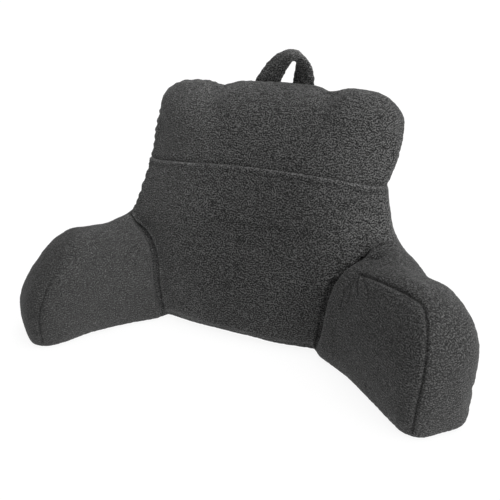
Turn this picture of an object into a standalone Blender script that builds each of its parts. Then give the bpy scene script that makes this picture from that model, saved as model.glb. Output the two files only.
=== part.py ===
"""Reading pillow: a stuffed wedge backrest with a full-width front pocket, two splayed arms and a strap
handle behind the top seam. Metres, +Z up. The sitter faces -Y, and the origin is the middle of the
backrest's flat underside. Run with blender --background --python part.py, or from the text editor."""

import math

import bmesh
import bpy
from mathutils import Vector

CLEARANCE = 0.0003

# The backrest: one row for each level section, read by a smooth curve. The side seam is where the
# section is widest. front and back are the y of its middle.
BACKREST_SECTIONS = (
    # height, half_width, front, seam, back
    (0.000, 0.212, -0.121, -0.060, 0.118),
    (0.050, 0.222, -0.124, -0.068, 0.128),
    (0.100, 0.228, -0.112, -0.068, 0.137),
    (0.160, 0.224, -0.088, -0.056, 0.144),
    (0.210, 0.213, -0.063, -0.030, 0.147),
    (0.256, 0.203, -0.040, 0.002, 0.147),
    (0.300, 0.208, -0.016, 0.040, 0.144),
    (0.336, 0.211, 0.006, 0.070, 0.138),
)
BACKREST_TOP = 0.380
RIDGE_HALF_WIDTH = 0.152
RIDGE_Y = 0.080
FRONT_SQUARENESS = 3.0
BACK_SQUARENESS = 2.1
SOLE_ROUND = 0.018
HEM_HEIGHT = 0.259
HEM_BOW = 0.016

# Tucks sewn over the top seam leave a lobe at each corner.
TUCK_X = (-0.107, 0.085)
TUCK_DEPTH = 0.012
TUCK_WIDTH = 0.015
TUCK_LENGTH = 0.060

# The pocket: a sheet over the front, hemmed along its top, closed at its sides and foot.
POCKET_THICKNESS = 0.003

# The arms: one row for each station along the arm, from its root inside the backrest to its end.
ARM_LEFT_STATIONS = (
    # along, inner, outer, height, lean
    (-0.100, 0.000, 0.090, 0.140, 0.08),
    (-0.040, 0.000, 0.136, 0.150, 0.20),
    (0.020, 0.000, 0.132, 0.159, 0.16),
    (0.060, 0.000, 0.122, 0.163, 0.10),
    (0.100, 0.000, 0.117, 0.169, 0.05),
    (0.140, -0.003, 0.112, 0.170, 0.00),
    (0.180, -0.007, 0.106, 0.146, -0.04),
    (0.215, -0.010, 0.100, 0.116, -0.06),
    (0.243, -0.012, 0.098, 0.084, -0.06),
)
ARM_RIGHT_STATIONS = (
    # along, inner, outer, height, lean
    (-0.100, 0.000, 0.090, 0.140, 0.08),
    (-0.040, -0.004, 0.142, 0.184, 0.16),
    (0.000, -0.004, 0.146, 0.184, 0.12),
    (0.030, -0.002, 0.142, 0.178, 0.09),
    (0.070, 0.000, 0.140, 0.177, 0.05),
    (0.110, 0.000, 0.133, 0.178, 0.05),
    (0.150, 0.000, 0.132, 0.181, 0.06),
    (0.190, 0.000, 0.130, 0.176, 0.03),
    (0.230, 0.000, 0.125, 0.158, -0.02),
)
ARM_ROOT = (0.138, -0.118)
ARM_SPLAY = math.radians(46.0)
ARM_END_ROUND = 0.060
ARM_END_SQUARENESS = 3.6
ARM_SQUARENESS = 2.8
ARM_SOLE_DROP = 0.030

# The pillow has settled a little askew: its foot is turned, which fades out upwards, its top is
# shifted and tilted to one side, and its right top corner has slumped and bulges below.
FOOT_TURN = 0.085
FOOT_TURN_HEIGHT = 0.300
TOP_SHIFT = 0.003
TOP_TILT = 0.018
SLUMP_DROP = 0.013
SLUMP_BULGE = 0.006
SLUMP_HEIGHT = 0.306
SLUMP_SPREAD = 0.034

# The handle: a padded strap bent into a loop, both ends sewn behind the top seam.
STRAP_WIDTH = 0.042
STRAP_THICKNESS = 0.009
STRAP_SECTION_POINTS = 10
STRAP_SQUARENESS = 3.0
HANDLE_STEPS = 26
HANDLE_X = -0.008
HANDLE_SPREAD = 0.034
HANDLE_SKEW = 0.018
HANDLE_Y = 0.112
HANDLE_LEAN = 0.018
HANDLE_FOOT = 0.330
HANDLE_TOP = 0.419
HANDLE_TWIST = math.radians(84)

RING_POINTS = 56
ARM_RING_POINTS = 36

FABRIC = (0.060, 0.060, 0.059)


def smooth_rows(rows, value):
    """The columns of a table at this value of its first column, on a smooth curve through its rows."""
    value = min(max(value, rows[0][0]), rows[-1][0])
    last = len(rows) - 1
    i = next(k for k in range(last) if value <= rows[k + 1][0])
    before, low, high, after = rows[max(i - 1, 0)], rows[i], rows[i + 1], rows[min(i + 2, last)]
    t = (value - low[0]) / (high[0] - low[0])
    found = []
    for b, p, q, a in zip(before[1:], low[1:], high[1:], after[1:]):
        start = (q - b) / 2 if i > 0 else q - p
        end = (a - p) / 2 if i < last - 1 else q - p
        found.append(
            p * (2 * t**3 - 3 * t**2 + 1)
            + start * (t**3 - 2 * t**2 + t)
            + q * (3 * t**2 - 2 * t**3)
            + end * (t**3 - t**2)
        )
    return found


def superellipse(angle, squareness):
    """A point of the unit superellipse."""
    c, s = math.cos(angle), math.sin(angle)
    power = 2 / squareness
    return math.copysign(abs(c) ** power, c), math.copysign(abs(s) ** power, s)


def settled(point):
    """The point once the pillow has settled askew."""
    turn = FOOT_TURN * max(0.0, 1 - point.z / FOOT_TURN_HEIGHT)
    share = (point.z / BACKREST_TOP) ** 2
    rise = TOP_TILT * share * point.x
    corner = max(0.0, point.x / BACKREST_SECTIONS[-1][1]) ** 4
    drop = SLUMP_DROP * corner * (point.z / BACKREST_TOP) ** 4
    bulge = SLUMP_BULGE * corner * math.exp(-(((point.z - SLUMP_HEIGHT) / SLUMP_SPREAD) ** 2))
    return Vector((point.x + TOP_SHIFT * share + bulge, point.y - turn * point.x, point.z + rise - drop))


def backrest_levels():
    """(height, closing from 0 to 1 at the ridge, inset at the sole) for each ring, bottom to top."""
    sole_steps, low_steps, high_steps, top_steps = 4, 11, 5, 6
    top_start = BACKREST_SECTIONS[-1][0]
    levels = []
    for k in range(sole_steps):
        turn = math.radians(90 * k / sole_steps)
        levels.append((SOLE_ROUND * (1 - math.cos(turn)), 0.0, SOLE_ROUND * (1 - math.sin(turn))))
    for k in range(low_steps):
        levels.append((SOLE_ROUND + (HEM_HEIGHT - SOLE_ROUND) * k / low_steps, 0.0, 0.0))
    for k in range(high_steps):
        levels.append((HEM_HEIGHT + (top_start - HEM_HEIGHT) * k / high_steps, 0.0, 0.0))
    for k in range(top_steps + 1):
        turn = math.radians(90 * k / top_steps)
        rise = (BACKREST_TOP - top_start) * math.sin(turn)
        levels.append((top_start + rise, 1 - math.cos(turn), 0.0))
    return levels


def tuck_drop(x, z):
    """How far the tucks pull a point of the top down."""
    reach = max(0.0, 1 - (BACKREST_TOP - z) / TUCK_LENGTH)
    pull = sum(math.exp(-(((x - tuck) / TUCK_WIDTH) ** 2)) for tuck in TUCK_X)
    return TUCK_DEPTH * pull * reach


def backrest_ring(level):
    """The points of one section of the backrest."""
    height, closing, inset = level
    half_width, front, seam, back = smooth_rows(BACKREST_SECTIONS, height)
    half_width += (RIDGE_HALF_WIDTH - half_width) * closing - inset
    front += (RIDGE_Y - front) * closing + inset
    seam += (RIDGE_Y - seam) * closing
    back += (RIDGE_Y - back) * closing - inset
    bow = HEM_BOW * math.sin(math.pi * height / BACKREST_TOP) ** 2
    points = []
    for k in range(RING_POINTS):
        angle = 2 * math.pi * k / RING_POINTS
        behind = angle < math.pi
        c, s = superellipse(angle, BACK_SQUARENESS if behind else FRONT_SQUARENESS)
        y = seam + s * ((back - seam) if behind else (seam - front))
        x, z = half_width * c, height + bow * (1 - c * c)
        points.append(settled(Vector((x, y, z - tuck_drop(x, z)))))
    return points


def ring_mesh(rings, ends):
    """A bmesh through rings of points. Its ends are closed across, front to back, or by one flat face."""
    mesh = bmesh.new()
    rows = [[mesh.verts.new(p) for p in ring] for ring in rings]
    count = len(rows[0])
    for low, high in zip(rows, rows[1:]):
        for k in range(count):
            n = (k + 1) % count
            mesh.faces.new((low[k], low[n], high[n], high[k]))
    for row in (rows[0], rows[-1]):
        if ends == "flat":
            mesh.faces.new(row)
            continue
        for k in range(count // 2):
            corners = (row[k], row[k + 1], row[(count - k - 1) % count], row[(count - k) % count])
            mesh.faces.new(list(dict.fromkeys(corners)))
    bmesh.ops.remove_doubles(mesh, verts=mesh.verts, dist=0.00001)
    bmesh.ops.recalc_face_normals(mesh, faces=mesh.faces)
    return mesh


def fabric_material():
    """The pillow's dark pile fabric."""
    material = bpy.data.materials.get("pile_fabric") or bpy.data.materials.new("pile_fabric")
    material.use_nodes = True
    shader = material.node_tree.nodes["Principled BSDF"]
    shader.inputs["Base Color"].default_value = (*FABRIC, 1.0)
    shader.inputs["Roughness"].default_value = 0.95
    shader.inputs["Metallic"].default_value = 0.0
    return material


def add_object(name, mesh, collection):
    """A smooth-shaded object in the fabric, from a bmesh."""
    data = bpy.data.meshes.new(name)
    mesh.to_mesh(data)
    mesh.free()
    data.shade_smooth()
    data.materials.append(fabric_material())
    item = bpy.data.objects.new(name, data)
    collection.objects.link(item)
    return item


def backrest_mesh(gap=None):
    """The backrest, or with gap(vertex) its surface moved out by that much, as a cutter."""
    mesh = ring_mesh([backrest_ring(level) for level in backrest_levels()], "across")
    mesh.normal_update()
    if gap:
        moves = [vert.normal * gap(vert) for vert in mesh.verts]
        for vert, move in zip(mesh.verts, moves):
            vert.co += move
    return mesh


def gap_alone(vert):
    """The clearance round the backrest."""
    return CLEARANCE


def gap_with_pocket(vert):
    """The clearance round the backrest and the pocket over its front."""
    over_pocket = vert.normal.y < -0.05 and vert.co.z < HEM_HEIGHT + 0.02
    return 2 * CLEARANCE + POCKET_THICKNESS if over_pocket else CLEARANCE


def in_pocket(vert):
    """True for a vertex of the backrest that the pocket lies over: in front, from near its foot to the hem."""
    half_width = smooth_rows(BACKREST_SECTIONS, HEM_HEIGHT)[0]
    bow = HEM_BOW * math.sin(math.pi * HEM_HEIGHT / BACKREST_TOP) ** 2
    hem = HEM_HEIGHT + bow * (1 - (vert.co.x / half_width) ** 2) + POCKET_THICKNESS
    return vert.normal.y < -0.15 and SOLE_ROUND / 2 < vert.co.z < hem


def pocket_mesh():
    """The pocket: the backrest's own facets below the hem, moved out and given a thickness."""
    mesh = backrest_mesh()
    outside = [face for face in mesh.faces if not all(in_pocket(v) for v in face.verts)]
    normals = {v: v.normal.copy() for v in mesh.verts}
    bmesh.ops.delete(mesh, geom=outside, context="FACES")
    inner = {v: v.co + normals[v] * CLEARANCE for v in mesh.verts}
    outer = {v: v.co + normals[v] * (CLEARANCE + POCKET_THICKNESS) for v in mesh.verts}
    sheet = bmesh.new()
    front = {v: sheet.verts.new(outer[v]) for v in mesh.verts}
    rear = {v: sheet.verts.new(inner[v]) for v in mesh.verts}
    for face in mesh.faces:
        sheet.faces.new([front[v] for v in face.verts])
        sheet.faces.new([rear[v] for v in reversed(face.verts)])
    for edge in mesh.edges:
        if len(edge.link_faces) == 1:
            a, b = edge.verts
            sheet.faces.new((front[a], front[b], rear[b], rear[a]))
    mesh.free()
    bmesh.ops.recalc_face_normals(sheet, faces=sheet.faces)
    return sheet


def arm_mesh(side, rows):
    """An arm as a loft of its sections, running on into the backrest at its root. side is 1 or -1."""
    along_x, along_y = math.sin(ARM_SPLAY), -math.cos(ARM_SPLAY)
    out_x, out_y = math.cos(ARM_SPLAY), math.sin(ARM_SPLAY)
    first, last = rows[0][0], rows[-1][0]
    straight = last - ARM_END_ROUND
    plain_steps, round_steps = 12, 7
    power = 2 / ARM_END_SQUARENESS
    stops = [(first + (straight - first) * k / plain_steps, 1.0) for k in range(plain_steps)]
    for k in range(round_steps):
        turn = math.radians(90 * k / round_steps)
        stops.append((straight + ARM_END_ROUND * math.sin(turn) ** power, math.cos(turn) ** power))
    rings = []
    for along, scale in stops:
        inner, outer, height, lean = smooth_rows(rows, along)
        half, centre = (outer - inner) / 2, height * 0.45
        ring = []
        for k in range(ARM_RING_POINTS):
            c, s = superellipse(2 * math.pi * k / ARM_RING_POINTS, ARM_SQUARENESS)
            rise = (height + ARM_SOLE_DROP) * (1 + s) / 2 - ARM_SOLE_DROP
            z = max(centre + (rise - centre) * scale, 0.0)
            across = inner + half + half * c * scale + lean * z
            x = ARM_ROOT[0] + along_x * along + out_x * across
            y = ARM_ROOT[1] + along_y * along + out_y * across
            ring.append(settled(Vector((side * x, y, z))))
        rings.append(ring)
    return ring_mesh(rings, "flat")


def cut_away(item, cutter):
    """Cuts the cutter out of the object with a Boolean modifier."""
    cut = item.modifiers.new("cut", "BOOLEAN")
    cut.operation = "DIFFERENCE"
    cut.object = cutter
    cut.solver = "EXACT"


def make_cutter(name, mesh, collection):
    """A hidden object that other pieces are cut by."""
    cutter = add_object(name, mesh, collection)
    cutter.hide_render = True
    cutter.display_type = "WIRE"
    return cutter


def strap_path():
    """The handle's middle line, from one sewn end to the other."""
    points = []
    for k in range(HANDLE_STEPS + 1):
        angle = math.pi * (1 - k / HANDLE_STEPS)
        rise = math.sin(angle) ** 0.8
        x = HANDLE_X + HANDLE_SPREAD * math.cos(angle) + HANDLE_SKEW * math.sin(angle)
        y = HANDLE_Y + HANDLE_LEAN * rise
        points.append(Vector((x, y, HANDLE_FOOT + (HANDLE_TOP - HANDLE_FOOT) * rise)))
    return points


def handle_mesh():
    """The strap: a flat padded section carried along the loop, twisted to lie flat at its sewn ends."""
    points = strap_path()
    rings = []
    for i, centre in enumerate(points):
        ahead, behind = points[min(i + 1, HANDLE_STEPS)], points[max(i - 1, 0)]
        tangent = (ahead - behind).normalized()
        wide = Vector((0, 1, 0))
        wide = (wide - tangent * wide.dot(tangent)).normalized()
        turn = HANDLE_TWIST * math.cos(math.pi * i / HANDLE_STEPS)
        across = wide * math.cos(turn) + tangent.cross(wide) * math.sin(turn)
        through = tangent.cross(across)
        ring = []
        for k in range(STRAP_SECTION_POINTS):
            c, s = superellipse(2 * math.pi * k / STRAP_SECTION_POINTS, STRAP_SQUARENESS)
            ring.append(centre + across * c * STRAP_WIDTH / 2 + through * s * STRAP_THICKNESS / 2)
        rings.append(ring)
    return ring_mesh(rings, "flat")


def main():
    """Builds the pieces and the cutters."""
    for item in list(bpy.data.objects):
        bpy.data.objects.remove(item)
    pillow = bpy.data.collections.new("reading_pillow")
    cutters = bpy.data.collections.new("cutters")
    for collection in (pillow, cutters):
        bpy.context.scene.collection.children.link(collection)
    add_object("backrest", backrest_mesh(), pillow)
    add_object("pocket", pocket_mesh(), pillow)
    around = make_cutter("backrest_and_pocket", backrest_mesh(gap_with_pocket), cutters)
    for name, side, rows in (("arm_left", -1, ARM_LEFT_STATIONS), ("arm_right", 1, ARM_RIGHT_STATIONS)):
        cut_away(add_object(name, arm_mesh(side, rows), pillow), around)
    alone = make_cutter("backrest_alone", backrest_mesh(gap_alone), cutters)
    cut_away(add_object("handle", handle_mesh(), pillow), alone)


main()
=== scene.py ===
"""Looks of the reading pillow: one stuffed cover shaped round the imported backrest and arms, a hemmed
pocket panel over its front and a padded strap handle, all in dark curly pile. Metres, +Z up, and the
sitter faces -Y."""

import math
from itertools import product

import bmesh
import bpy
import numpy as np
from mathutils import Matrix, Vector
from mathutils.bvhtree import BVHTree


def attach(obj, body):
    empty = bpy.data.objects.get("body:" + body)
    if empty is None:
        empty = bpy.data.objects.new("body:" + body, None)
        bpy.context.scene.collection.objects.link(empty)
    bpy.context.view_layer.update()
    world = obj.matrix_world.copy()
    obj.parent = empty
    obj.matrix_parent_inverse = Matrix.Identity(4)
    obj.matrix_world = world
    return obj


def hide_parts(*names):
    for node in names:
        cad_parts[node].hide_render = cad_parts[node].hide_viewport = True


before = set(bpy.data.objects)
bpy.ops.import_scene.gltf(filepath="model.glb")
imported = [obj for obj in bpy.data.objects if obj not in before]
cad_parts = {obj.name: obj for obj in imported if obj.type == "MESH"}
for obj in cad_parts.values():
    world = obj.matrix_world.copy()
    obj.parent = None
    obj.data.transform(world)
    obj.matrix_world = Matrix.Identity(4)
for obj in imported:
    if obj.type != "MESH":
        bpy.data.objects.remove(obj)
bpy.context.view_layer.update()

# The camera, fitted to the photograph.
CAMERA_PLACE = (0.3543, -1.1094, 0.6951)
CAMERA_TARGET = (-0.005, -0.054, 0.132)
CAMERA_LENS = 54.0

LAMPS = (
    # name, direction it shines from, strength, how soft in degrees
    ("right", (0.86, -0.50, 0.14), 2.3, 45),
    ("right_high", (0.57, 0.05, 0.82), 1.3, 45),
    ("top", (0.00, 0.00, 1.00), 1.4, 45),
    ("left_back", (-0.86, 0.50, 0.14), 0.25, 45),
    ("behind", (0.05, 0.85, 0.52), 1.0, 45),
)

# Sizes repeated from the part's source.
BACKREST_SECTIONS = (
    # height, half_width, front, seam, back
    (0.000, 0.212, -0.121, -0.060, 0.118),
    (0.050, 0.222, -0.124, -0.068, 0.128),
    (0.100, 0.228, -0.112, -0.068, 0.137),
    (0.160, 0.224, -0.088, -0.056, 0.144),
    (0.210, 0.213, -0.063, -0.030, 0.147),
    (0.256, 0.203, -0.040, 0.002, 0.147),
    (0.300, 0.208, -0.016, 0.040, 0.144),
    (0.336, 0.211, 0.006, 0.070, 0.138),
)
BACKREST_TOP = 0.380
RIDGE_HALF_WIDTH = 0.152
RIDGE_Y = 0.080
FRONT_SQUARENESS = 3.0
HEM_HEIGHT = 0.259
HEM_BOW = 0.016
ARM_ROOT = (0.138, -0.118)
ARM_SPLAY = math.radians(46.0)
FOOT_TURN = 0.085
FOOT_TURN_HEIGHT = 0.300
TOP_SHIFT = 0.003
TOP_TILT = 0.018
SLUMP_DROP = 0.013
SLUMP_BULGE = 0.006
SLUMP_HEIGHT = 0.306
SLUMP_SPREAD = 0.034

# The handle: the part's strap, a little thicker, lower and more skewed, in finer steps.
STRAP_WIDTH = 0.042
STRAP_THICKNESS = 0.010
STRAP_TOP_FULLNESS = 0.007
STRAP_SECTION = 56
STRAP_EDGE_POWER = 2 / 2.6
STRAP_FACE_POWER = 2 / 2.2
HANDLE_STEPS = 150
HANDLE_X = -0.010
HANDLE_SPREAD = 0.036
HANDLE_SKEW = 0.021
HANDLE_Y = 0.112
HANDLE_LEAN = 0.018
HANDLE_FOOT = 0.330
HANDLE_TOP = 0.4155
HANDLE_TWIST = math.radians(84)
HANDLE_PILE = 2.2
HANDLE_LIE = 0.4

# The cover's pieces and the nodes that they replace.
COVERS = (
    # piece, node
    ("backrest_cover", "backrest"),
    ("arm_left_cover", "arm_left"),
    ("arm_right_cover", "arm_right"),
)

# The cover's mesh: the solids are swollen, remeshed as one, smoothed and drawn back, which closes their
# gaps. It stays this far above the floor.
VOXEL = 0.0052
SWELL = 0.0024
MESH_ROUNDS = 3
FLOOR_CLEAR = 0.0002

# How far distances are measured: from the solids, before and after the stuffing, and from a line.
SOLID_REACH = 0.070
SEAM_REACH = 0.040
LINE_NEAR = 0.012
LINE_FAR = 0.030

# The crease where each arm meets the front: how deep it is drawn in and how far that reaches, for its
# narrow core and for the soft shoulder on the front's side of it. Its floor is CREASE_FLOOR wide, and it is
# shallower below CREASE_LOW.
CREASE_DEPTH = 0.010
CREASE_REACH = 0.0028
CREASE_FLOOR = 0.0035
CREASE_SLACK = 0.002
CREASE_LOW = 0.045
CREASE_FADE = (
    # left, right: the distance from the middle where the crease starts to fade, and where it has gone
    (0.186, 0.172),
    (0.220, 0.192),
)
SHOULDER_DEPTH = 0.004
SHOULDER_REACH = 0.014
SHOULDER_POWER = 1.3
SHOULDER_EDGE = (-0.002, 0.004)

# The front is crowned more roundly than the solid, where it faces forward and below this height.
CROWN_LIMIT = 0.98
CROWN_FACING = (0.25, 0.70)
CROWN_HEIGHT = (0.290, 0.335)
CROWN_EDGE = (-0.004, 0.008)

# The outer joints, where an arm runs into the backrest's side: within this distance of both and this far
# out the cover is smoothed, and filled out on the left and on the right.
JOINT_SPREAD = (0.018, 0.060)
JOINT_MIDDLE = -0.010
JOINT_START = (0.198, 0.228)
JOINT_FILL = (0.0065, 0.0055)
JOINT_SOFTNESS = 0.7
JOINT_ROUNDS = 160

# The top of the right arm's root is smoothed too.
ROOT_PLACE = (0.206, -0.062, 0.192)
ROOT_SPREAD = (0.010, 0.030)

# The right arm's root has settled: where, how far it moves and how far that reaches.
LEANS = (
    # x, y, z, move in x, move in z, reach across, reach up
    (0.140, -0.130, 0.0, -0.016, 0.0, 0.050, 0.110),
    (0.188, -0.092, 0.168, 0.012, -0.009, 0.045, 0.045),
)

# Where the stuffing fills the cover out more than the solid.
FULL_PLACES = (
    # side, along, across, height, reach, amount; side 0 gives x, y, z
    (-1, 0.175, 0.085, 0.150, 0.050, 0.007),
    (1, 0.055, 0.135, 0.170, 0.038, 0.009),
    (1, 0.130, 0.125, 0.175, 0.050, 0.003),
    (1, 0.205, 0.125, 0.090, 0.070, 0.004),
    (1, 0.230, 0.115, 0.000, 0.035, 0.006),
    (0, -0.208, 0.020, 0.310, 0.060, 0.005),
    (0, -0.208, 0.005, 0.255, 0.035, 0.004),
    (0, 0.210, 0.020, 0.288, 0.026, 0.004),
    (0, 0.210, 0.000, 0.215, 0.024, 0.003),
    (1, 0.130, 0.130, 0.170, 0.025, 0.004),
    (-1, 0.190, -0.005, 0.000, 0.030, 0.004),
    (0, -0.100, -0.135, 0.000, 0.040, 0.003),
    (0, 0.065, -0.140, 0.000, 0.035, 0.003),
    (0, 0.150, 0.070, 0.375, 0.060, 0.003),
    (0, -0.150, -0.125, 0.000, 0.030, 0.003),
)

# Painted light and shade: how much lighter the pile is drawn than the plain fabric, or darker where it is
# less than 0, as a share.
# On the front: painted light on its right and left sides, painted shade in its middle, a painted shadow
# beside the right arm, and two painted patches.
RIGHT_PAINTED_LIGHT = 0.18
RIGHT_START = (0.09, 0.20)
LEFT_PAINTED_LIGHT = 0.34
LEFT_START = (0.02, 0.18)
MIDDLE_PAINTED_SHADE = -0.17
MIDDLE_HEIGHT = (0.200, 0.360)
BESIDE_PAINTED_SHADOW = -0.16
BESIDE_REACH = 0.070
BESIDE_HEIGHT = (0.100, 0.160)
FRONT_PAINTED_PATCHES = (
    # x, z, reach across, reach up, tone
    (0.060, 0.265, 0.045, 0.070, -0.14),
    (0.165, 0.185, 0.030, 0.025, 0.16),
)
# Painted shade down in the seams, creases and puckers, and a painted highlight on the hem's edge.
SEAM_PAINTED_SHADE = -0.45
LEFT_SEAM_PAINTED_SHADE = -0.35
SEAM_TONE_REACH = 0.0020
CREASE_PAINTED_SHADE = -0.35
CREASE_TONE_REACH = 0.0036
HEM_PAINTED_HIGHLIGHT = 0.45
PUCKER_PAINTED_SHADE = -0.28
PUCKER_TONE_REACH = 0.0018
# Painted shade at the left arm's end and on top of the right arm's root; the handle drawn lighter all over,
# and its right leg lighter still with painted light.
LEFT_END_PAINTED_SHADE = -0.24
LEFT_END_START = (0.235, 0.320)
ROOT_PAINTED_SHADE = -0.24
ROOT_TOP = (0.070, 0.115, 0.170)
ROOT_TONE_REACH = 0.055
HANDLE_TONE = 0.22
HANDLE_RIGHT_PAINTED_LIGHT = 0.40
HANDLE_RIGHT_START = (0.002, 0.020)

# Where the right crease runs out over the arm's root, and how far along it starts and ends.
TAIL = (
    # along, across, height
    (0.008, 0.049, 0.175),
    (0.013, 0.054, 0.178),
    (0.020, 0.060, 0.180),
    (0.026, 0.066, 0.181),
    (0.033, 0.073, 0.180),
    (0.042, 0.079, 0.179),
)
TAIL_DEPTH = 0.0050
TAIL_REACH = 0.0040
TAIL_START = (0.0, 0.008)
TAIL_END = (0.022, 0.044)
# Painted shade down the tail's line.
TAIL_PAINTED_SHADE = -0.30
TAIL_TONE_REACH = 0.0030

# The tuck from the hem's right end round the side.
TUCK = (
    # x, y, z
    (0.2030, -0.010, 0.2575),
    (0.2040, 0.004, 0.2540),
    (0.2060, 0.030, 0.2480),
    (0.2060, 0.055, 0.2400),
)
TUCK_DEPTH = 0.0032
TUCK_REACH = 0.0055

# The sewn lines' grooves and their small gathers.
LINE_FORMS = {
    # line: depth, reach, height of the gathers, their pitch, seed
    "arm_left": (0.0036, 0.005, 0.0007, 0.012, 2),
    "arm_right": (0.0046, 0.005, 0.0009, 0.012, 4),
    "side": (0.0020, 0.007, 0.0022, 0.0165, 11),
    "pucker": (0.0026, 0.0035, 0.0, 0.010, 1),
}
# A line acts as far as this many of its reaches.
LINE_REACHES = 6
# How strong the gathers are on each side, and which share of that is left above this height.
LEFT_GATHERS = 1.3
RIGHT_GATHERS = 0.25
TOP_GATHERS = 0.25
TOP_START = (0.325, 0.350)

# The backrest's side seam: its foot, and how far it is behind the widest line and behind the ridge.
SIDE_SEAM_FOOT = 0.165
SIDE_SEAM_BEHIND = 0.004
RIDGE_SEAM_BEHIND = 0.014
SIDE_STEPS = 25
CORNER_STEPS = 10
RIDGE_STEPS = 30

# The sewn line round each arm's inner panel, from the crease over the top and down the front end. The left
# one is weaker before it turns down.
LEFT_SEAM_TURN = (0.12, 0.20)
ARM_LEFT_SEAM = (
    # along, across, height
    (0.030, 0.030, 0.152),
    (0.080, 0.024, 0.160),
    (0.130, 0.018, 0.158),
    (0.163, 0.009, 0.143),
    (0.178, 0.005, 0.133),
    (0.195, -0.002, 0.114),
    (0.207, -0.008, 0.095),
    (0.220, -0.010, 0.063),
    (0.222, -0.006, 0.012),
)
ARM_RIGHT_SEAM = (
    # along, across, height
    (0.030, 0.036, 0.160),
    (0.049, 0.036, 0.164),
    (0.096, 0.041, 0.170),
    (0.131, 0.045, 0.174),
    (0.157, 0.047, 0.175),
    (0.176, 0.046, 0.173),
    (0.198, 0.035, 0.162),
    (0.212, 0.026, 0.145),
    (0.223, 0.018, 0.106),
    (0.222, 0.014, 0.058),
    (0.218, 0.015, 0.012),
)

# How flat the pile lies on the arms and at the front's left side. Flatter pile is also drawn lighter, a
# painted sheen.
LEFT_LIE = 1.45
RIGHT_LIE = 1.0
ARM_LIE_EDGE = (-0.010, 0.020)
SIDE_LIE = 1.2
SIDE_LIE_START = (-0.190, -0.030)

# The cover's soft lumps, which fade out near the floor, and the pile's curls and swirls.
LUMPS = (
    # height, size, seed
    (0.0014, 0.060, 21),
    (0.0007, 0.028, 22),
)
LUMPS_LOW = (0.002, 0.030)
CURL_HEIGHT = 0.0008
CURL_SIZE = 0.0052
SWIRL_HEIGHT = 0.0003
SWIRL_SIZE = 0.0075

# Short puckers where each arm's seam leaves the crease: from one place on the arm to another.
PUCKERS = (
    # side, along, across, height, along, across, height
    (1, 0.034, 0.034, 0.158, 0.062, 0.006, 0.146),
    (1, 0.032, 0.030, 0.154, 0.050, 0.002, 0.128),
    (1, 0.044, 0.034, 0.162, 0.082, 0.014, 0.156),
    (1, 0.030, 0.024, 0.146, 0.040, 0.000, 0.112),
    (-1, 0.032, 0.026, 0.146, 0.056, 0.004, 0.134),
    (-1, 0.030, 0.022, 0.138, 0.044, 0.002, 0.112),
)

# The stuffing pushes the cloth out between its seams, by this much at most. What is held: the sole, the
# creases and the sewn lines, each within its distance.
PUFF_PRESSURE = 12.0
PUFF_FRAMES = 10
PUFF_CAP = 0.012
PUFF_INSET = 0.0004
HELD_SOLE = 0.006
HELD_CREASE = 0.004
HELD_INSIDE = 0.3
HELD_LINE = 0.0035


def smooth_rows(rows, value):
    """The columns of a table at this value of its first column, on a smooth curve through its rows."""
    value = min(max(value, rows[0][0]), rows[-1][0])
    last = len(rows) - 1
    i = next(k for k in range(last) if value <= rows[k + 1][0])
    before, low, high, after = rows[max(i - 1, 0)], rows[i], rows[i + 1], rows[min(i + 2, last)]
    t = (value - low[0]) / (high[0] - low[0])
    found = []
    for b, p, q, a in zip(before[1:], low[1:], high[1:], after[1:]):
        start = (q - b) / 2 if i > 0 else q - p
        end = (a - p) / 2 if i < last - 1 else q - p
        found.append(
            p * (2 * t**3 - 3 * t**2 + 1)
            + start * (t**3 - 2 * t**2 + t)
            + q * (3 * t**2 - 2 * t**3)
            + end * (t**3 - t**2)
        )
    return found


def settled(point):
    """The point once the pillow has settled askew."""
    turn = FOOT_TURN * max(0.0, 1 - point.z / FOOT_TURN_HEIGHT)
    share = (point.z / BACKREST_TOP) ** 2
    rise = TOP_TILT * share * point.x
    corner = max(0.0, point.x / BACKREST_SECTIONS[-1][1]) ** 4
    drop = SLUMP_DROP * corner * (point.z / BACKREST_TOP) ** 4
    bulge = SLUMP_BULGE * corner * math.exp(-(((point.z - SLUMP_HEIGHT) / SLUMP_SPREAD) ** 2))
    return Vector((point.x + TOP_SHIFT * share + bulge, point.y - turn * point.x, point.z + rise - drop))


def arm_point(side, along, across, height):
    """A point given along and across an arm. side is 1 for the right arm and -1 for the left."""
    x = ARM_ROOT[0] + math.sin(ARM_SPLAY) * along + math.cos(ARM_SPLAY) * across
    y = ARM_ROOT[1] - math.cos(ARM_SPLAY) * along + math.sin(ARM_SPLAY) * across
    return settled(Vector((side * x, y, height)))


# Mesh helpers, on arrays of points and of quads.


def object_arrays(item):
    """(points, quads) of an object as it is with its modifiers."""
    graph = bpy.context.evaluated_depsgraph_get()
    mesh = item.evaluated_get(graph).to_mesh()
    points = np.empty(len(mesh.vertices) * 3, np.float32)
    mesh.vertices.foreach_get("co", points)
    quads = np.empty(len(mesh.loops), np.int32)
    mesh.loops.foreach_get("vertex_index", quads)
    item.evaluated_get(graph).to_mesh_clear()
    return points.reshape(-1, 3).astype(float), quads.reshape(-1, 4)


def mesh_object(name, points, faces):
    """An object from arrays of points and of faces."""
    data = bpy.data.meshes.new(name)
    data.from_pydata(points.tolist(), [], faces.tolist())
    data.shade_smooth()
    item = bpy.data.objects.new(name, data)
    bpy.context.scene.collection.objects.link(item)
    return item


def normals_of(points, quads):
    """The points' normals, from the quads round them."""
    corner = points[quads]
    face = np.cross(corner[:, 2] - corner[:, 0], corner[:, 3] - corner[:, 1])
    total = np.zeros_like(points)
    for k in range(4):
        for axis in range(3):
            total[:, axis] += np.bincount(quads[:, k], face[:, axis], len(points))
    return total / np.maximum(np.linalg.norm(total, axis=1), 1e-12)[:, None]


def edges_of(quads):
    """The pairs of points that the quads' sides join, each once."""
    pairs = np.concatenate([quads[:, [k, (k + 1) % 4]] for k in range(4)])
    return np.unique(np.sort(pairs, axis=1), axis=0)


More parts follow.
